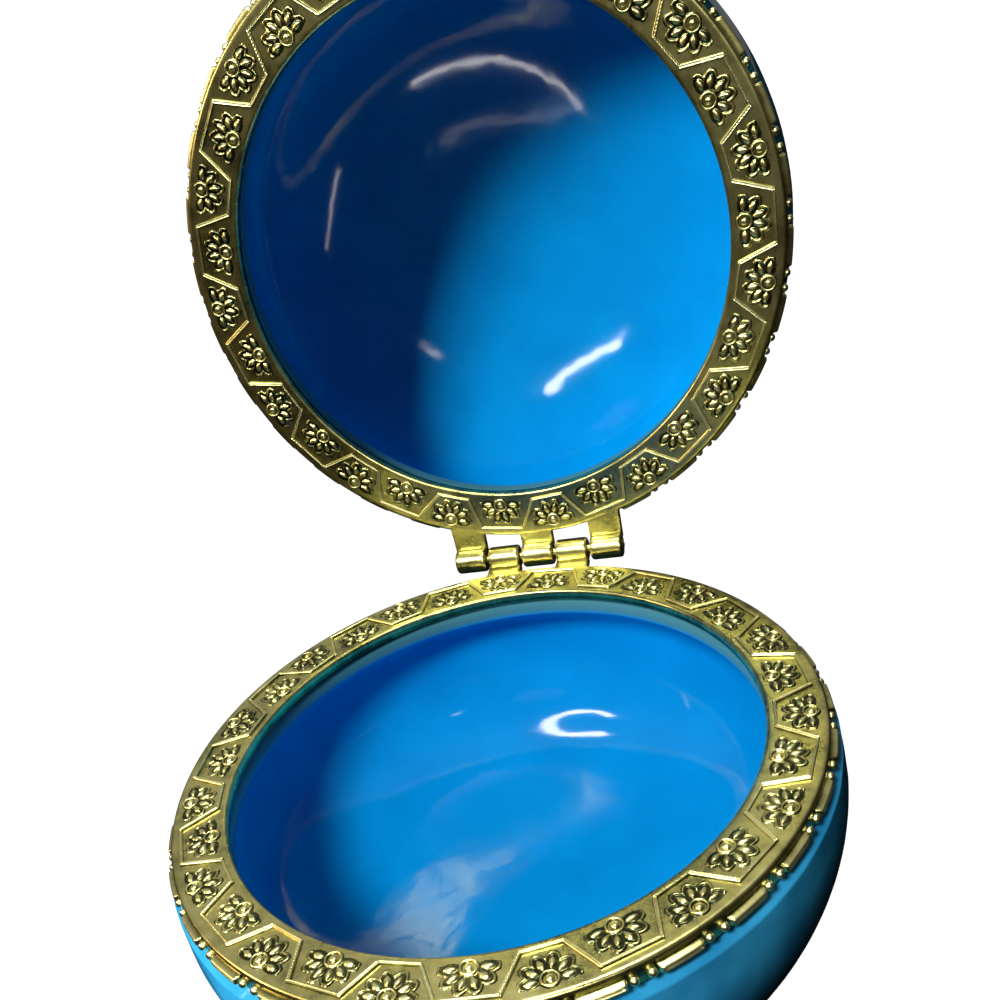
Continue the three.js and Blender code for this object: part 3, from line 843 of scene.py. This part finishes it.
gold, gold_shader = surface_material("gold_tone", (0.56, 0.47, 0.19, 1), gold_patina_shade_group())
gold_shader.inputs["Metallic"].default_value = 1.0
for piece in metal["base"] + metal["lid"] + [pin_rod]:
    piece.data.materials.append(gold)

# %% [markdown]
# ## Blue glaze
# The glaze is a deep azure inside and a paler sky blue outside, and the foot is bare clay.
# Over the lip the colour is a dark teal: painted shade with a painted reflection of the gold.
# The colour drifts a little, as a brushed glaze does. The shine is that of glass over the
# colour. A coat on the shader would add a second shine, so it is left out, and the specular
# level is low, because the photo was taken in a dark place and its glaze mirrors little but
# the lamps.

# %% The glaze material
# The lip colour is painted shade with a painted greenish reflection of the gold; the bare clay is
# the foot's own colour.
LIP_SHADE_AND_GOLD_REFLECTION, BARE_CLAY = (0.06, 0.22, 0.27, 1), (0.62, 0.58, 0.50, 1)


def glaze_group():
    """inside, lip, bare -> colour, roughness and a slightly wavy normal. The outer colour
    gives way to the inner one by `inside`, then by `lip` to the lip colour, which is painted
    shade with a painted reflection of the gold, and to BARE_CLAY by `bare`."""
    group, start, end = new_group("blue glaze", ["inside", "lip", "bare"])
    drift = object_noise(group, 130.0, 3.0)
    outer = ramp(group, drift, [(0.32, (0.010, 0.20, 0.46, 1)), (0.68, (0.045, 0.44, 0.80, 1))])
    inner = ramp(group, drift, [(0.3, (0.0005, 0.27, 0.67, 1)), (0.7, (0.0010, 0.32, 0.76, 1))])
    color = blend(group, start.outputs["inside"], outer, inner)
    color = blend(group, start.outputs["lip"], color, LIP_SHADE_AND_GOLD_REFLECTION)
    color = blend(group, start.outputs["bare"], color, BARE_CLAY)
    group.links.new(color, end.inputs["Color"])
    group.links.new(ranged(group, start.outputs["bare"], 0.07, 0.75), end.inputs["Roughness"])
    normal = bumped(group, object_noise(group, 260.0, 2.0), 0.25, 0.0001)
    group.links.new(normal, end.inputs["Normal"])
    return group


glaze, glaze_shader = surface_material("blue_glaze", (0.0, 0.25, 0.7, 1), glaze_group())
glaze_shader.inputs["Specular IOR Level"].default_value = 0.25
for half in HALVES:
    ceramics[half].data.materials.append(glaze)

# %% [markdown]
# ## A pale floor in a dark room
# The photo has no background, so the box stands on a plain pale floor. It was taken in a dim
# place, though, and the glaze and the metal mirror that: nearly black, and brown on the left.
# A white floor would light the bowls from below and wash their shade out. So the floor has
# two looks, and Light Path picks the pale one for what the camera sees and the dark one for
# every ray that bounces.

# %% Floor
BROWN_FROM, FLOOR_HALF = -0.16, 3.0


def floor_material():
    """The pale look for the camera, and for other rays a colour that goes from brown at
    x = BROWN_FROM to nearly black at x = 0."""
    material, tree, shader = new_material("floor", (0.9, 0.9, 0.9, 1))
    pale = ramp(tree, object_noise(tree, 30.0, 2.0),
                [(0.0, (0.86, 0.86, 0.86, 1)), (1.0, (0.92, 0.92, 0.92, 1))])
    tree.links.new(pale, shader.inputs["Base Color"])
    shader.inputs["Roughness"].default_value = 0.9
    shader.inputs["Emission Color"].default_value = (1, 1, 1, 1)
    shader.inputs["Emission Strength"].default_value = 1.0
    place = add(tree, "ShaderNodeTexCoord")
    split = add(tree, "ShaderNodeSeparateXYZ")
    side = add(tree, "ShaderNodeMapRange")
    side.inputs["From Min"].default_value, side.inputs["From Max"].default_value = BROWN_FROM, 0
    tree.links.new(place.outputs["Object"], split.inputs[0])
    tree.links.new(split.outputs["X"], side.inputs["Value"])
    tint = ramp(tree, side.outputs["Result"],
                [(0.0, (0.13, 0.07, 0.025, 1)), (1.0, (0.022, 0.018, 0.013, 1))])
    dark = add(tree, "ShaderNodeBsdfDiffuse")
    tree.links.new(tint, dark.inputs["Color"])
    rays = add(tree, "ShaderNodeLightPath")
    look = add(tree, "ShaderNodeMixShader")
    tree.links.new(rays.outputs["Is Camera Ray"], look.inputs[0])
    tree.links.new(dark.outputs[0], look.inputs[1])
    tree.links.new(shader.outputs[0], look.inputs[2])
    tree.links.new(look.outputs[0], tree.nodes["Material Output"].inputs["Surface"])
    return material


floor_mesh = bpy.data.meshes.new("floor")
floor_corners = [(x * FLOOR_HALF, y * FLOOR_HALF, 0) for x, y in
                 ((-1, -1), (1, -1), (1, 1), (-1, 1))]
floor_mesh.from_pydata(floor_corners, [], [(0, 1, 2, 3)])
floor = bpy.data.objects.new("floor", floor_mesh)
bpy.context.scene.collection.objects.link(floor)
floor_mesh.materials.append(floor_material())
print("floor:", 2 * FLOOR_HALF, "m wide")

# %% [markdown]
# ## Lamps for the ceramic and for the metal
# In the photo one soft lamp on the left leaves a long shade in both bowls, and the gold glints
# from many sides. One set of lamps can't give both, because glaze mirrors each lamp as a
# bright square. Light linking helps: a lamp lights only the pieces in its collection. The
# ceramic's lamps are also hidden from reflections, and what the glaze mirrors comes in the
# next step. The metal's lamp on the left is warm, as the brown there in the photo is.

# %% Lamps and what they light
MIDDLE = (0, 0.01, 0.04)


def receivers(name, pieces):
    """A collection of the pieces that a lamp may light."""
    group = bpy.data.collections.new(name)
    bpy.context.scene.collection.children.link(group)
    for piece in pieces:
        group.objects.link(piece)
    return group


def lamp(name, place, size, power, color=(1, 1, 1)):
    """A square area lamp that looks at the middle of the box. Metres and watts."""
    light = bpy.data.lights.new(name, "AREA")
    light.shape, light.size, light.energy, light.color = "SQUARE", size, power, color
    obj = bpy.data.objects.new(name, light)
    bpy.context.scene.collection.objects.link(obj)
    away = Vector(place) - Vector(MIDDLE)
    obj.matrix_world = Matrix.Translation(place) @ away.to_track_quat("Z", "Y").to_matrix().to_4x4()
    return obj


metal_pieces = receivers("metal pieces", metal["base"] + metal["lid"] + [pin_rod])
lid_ceramic = receivers("lid ceramic", [ceramics["lid"]])
base_ceramic = receivers("base ceramic", [ceramics["base"]])
for name, place, group, size, power in (
        ("key on the lid", (-0.31, -0.249, 0.387), lid_ceramic, 0.12, 3.6),
        ("key on the base", (-0.085, -0.31, 0.44), base_ceramic, 0.13, 2.7),
        ("low light on the left", (-0.25, -0.20, 0.03), base_ceramic, 0.12, 1.1)):
    key = lamp(name, place, size, power)
    key.visible_glossy = False
    key.light_linking.receiver_collection = group
for name, place, size, power, color in (
        ("glint key", (-0.155, -0.29, 0.41), 0.13, 2.3, (0.95, 1.0, 0.97)),
        ("glint above", (0.02, 0.03, 0.45), 0.10, 1.1, (1.0, 0.99, 0.88)),
        ("glint in front", (0.10, -0.36, 0.28), 0.10, 0.85, (1.0, 0.99, 0.90)),
        ("glint on the left", (-0.34, -0.10, 0.22), 0.10, 0.5, (1.0, 0.72, 0.42))):
    glint = lamp(name, place, size, power, color)
    glint.light_linking.receiver_collection = metal_pieces

# %% [markdown]
# ## Bright lines that the glaze mirrors
# The hooks and streaks in the bowls are mirror images of small bright things in the room. Each
# is a ribbon, laid where the law of reflection sends the line of sight from that place in the
# bowl. Streaks painted on the glaze would look right from one side only, while these move as
# real ones do. The ribbons throw no shadow or soft light, and the camera doesn't see them.

# %% Glowing ribbons
LOOKED_AT = np.array([0, 20, 40])


def light_tube(name, path, width, strength, group):
    """A thin glowing ribbon along a path (points in mm), turned flat towards the box. Its two
    edges are path +- width / 2 * unit(direction of the path x direction to the box)."""
    path = np.array(path, dtype=float)
    run = np.linspace(0, len(path) - 1, 24)
    line = np.stack([np.interp(run, np.arange(len(path)), path[:, k]) for k in range(3)], -1)
    line = softened(line, 6)
    across = np.cross(np.gradient(line, axis=0), LOOKED_AT - line)
    across = across / np.linalg.norm(across, axis=1, keepdims=True) * width / 2
    edges = np.stack([line - across, line + across], axis=1).reshape(-1, 3) * MM
    k = 2 * np.arange(len(line) - 1)
    mesh = bpy.data.meshes.new(name)
    mesh.from_pydata(edges.tolist(), [], np.stack([k, k + 1, k + 3, k + 2], -1).tolist())
    obj = bpy.data.objects.new(name, mesh)
    bpy.context.scene.collection.objects.link(obj)
    material, tree, shader = new_material(name, (1, 1, 1, 1))
    shader.inputs["Base Color"].default_value = (0, 0, 0, 1)
    shader.inputs["Emission Color"].default_value = (1.0, 0.98, 0.95, 1)
    shader.inputs["Emission Strength"].default_value = strength
    mesh.materials.append(material)
    obj.visible_camera = obj.visible_shadow = obj.visible_diffuse = False
    obj.light_linking.receiver_collection = group
    return obj


light_tube("hooked tube above", [
    (-128, -15, 272), (-119, -46, 272), (-95, -51, 281), (-70, -42, 291), (-57, -15, 299),
    (-59, 14, 300), (-70, 42, 296), (-87, 49, 291), (-110, 44, 284)], 14, 42, base_ceramic)
light_tube("hooked tube in front", [
    (-105, -171, 83), (-90, -178, 86), (-75, -181, 91), (-64, -180, 104), (-62, -178, 116),
    (-66, -178, 119)], 9, 45, lid_ceramic)
light_tube("strip on the floor, left", [
    (-20, -78, 2), (-33, -76, 2), (-45, -80, 2), (-60, -104, 2), (-68, -120, 2)], 2.6, 26,
    lid_ceramic)
light_tube("strip on the floor, back", [(-64, -120, 2), (-58, -150, 2), (-38, -166, 2)], 3.0, 4,
           lid_ceramic)
light_tube("strip on the floor, right", [(16, -103, 2), (40, -143, 2), (86, -222, 2)], 2.6, 18,
           lid_ceramic)
light_tube("small lamp above", [(83, -134, 248), (93, -124, 248)], 10, 14, base_ceramic)
light_tube("small lamp in front", [(-4, -248, 82), (5, -248, 77)], 10, 14, lid_ceramic)
light_tube("strip on the left", [(-249, -114, 54), (-248, -75, 105), (-240, -37, 155)], 4, 8,
           base_ceramic)

# %% [markdown]
# ## The sky
# Polished metal shows its surroundings more than its own colour. Here they are dim on the side
# of the camera and lighter behind the box and above it, which gives the rings their dark and
# bright stretches. A photograph of a room would be richer, but a dot product and a ramp are
# enough. The camera sees the sky white, like the photo's empty background.

# %% Sky
BRIGHT_SIDE = (-0.25, 0.65, 0.72)
world = bpy.data.worlds.new("sky")
bpy.context.scene.world = world
world.use_nodes = True
sky = world.node_tree
direction = add(sky, "ShaderNodeTexCoord")
towards = add(sky, "ShaderNodeVectorMath", operation="DOT_PRODUCT")
towards.inputs[1].default_value = BRIGHT_SIDE
sky.links.new(direction.outputs["Generated"], towards.inputs[0])
glow = ramp(sky, towards.outputs["Value"],
            [(0.0, (0.035, 0.030, 0.025, 1)), (0.45, (0.075, 0.068, 0.058, 1)),
             (0.72, (0.26, 0.26, 0.24, 1)), (1.0, (0.42, 0.42, 0.40, 1))])
rays = add(sky, "ShaderNodeLightPath")
shown = blend(sky, rays.outputs["Is Camera Ray"], glow, (1.0, 1.0, 1.0, 1.0))
sky.links.new(shown, sky.nodes["Background"].inputs["Color"])
sky.nodes["Background"].inputs["Strength"].default_value = 1.0
print("sky nodes:", len(sky.nodes))

# %% [markdown]
# ## The camera
# The corners of the panels lie on circles of known size on both rings. The camera's place,
# its three turns, the lens and the shift were fitted until the circles fell on their images
# in the photo. Placing it by eye would come close, but the lid and the base would not both
# fit. The numbers stay as the fit gave them.

# %% Camera
CAMERA_PLACE = (0.02856, -0.07370, 0.08281)
TILT, PAN, ROLL = 2.1825, 0.2799, -0.0818
LENS, SENSOR, SHIFT = 39.105, 36.0, (0.00404, 0.1647)


def turn(angle, first, second):
    """A turn by an angle in the plane of two axes, as a 3 x 3 matrix."""
    matrix = np.eye(3)
    matrix[first, first] = matrix[second, second] = np.cos(angle)
    matrix[second, first], matrix[first, second] = np.sin(angle), -np.sin(angle)
    return matrix


camera_data = bpy.data.cameras.new("camera")
camera_data.sensor_width, camera_data.lens, camera_data.clip_start = SENSOR, LENS, 0.005
camera_data.shift_x, camera_data.shift_y = SHIFT
camera = bpy.data.objects.new("camera", camera_data)
bpy.context.scene.collection.objects.link(camera)
right, down, ahead = turn(ROLL, 0, 1) @ turn(-PAN, 0, 2) @ turn(TILT, 1, 2)
axes = Matrix((right.tolist(), (-down).tolist(), (-ahead).tolist())).transposed()
camera.matrix_world = Matrix.Translation(CAMERA_PLACE) @ axes.to_4x4()
bpy.context.scene.camera = camera
bpy.context.scene.view_settings.view_transform = "Standard"
print("camera looks along", [round(float(v), 3) for v in ahead])
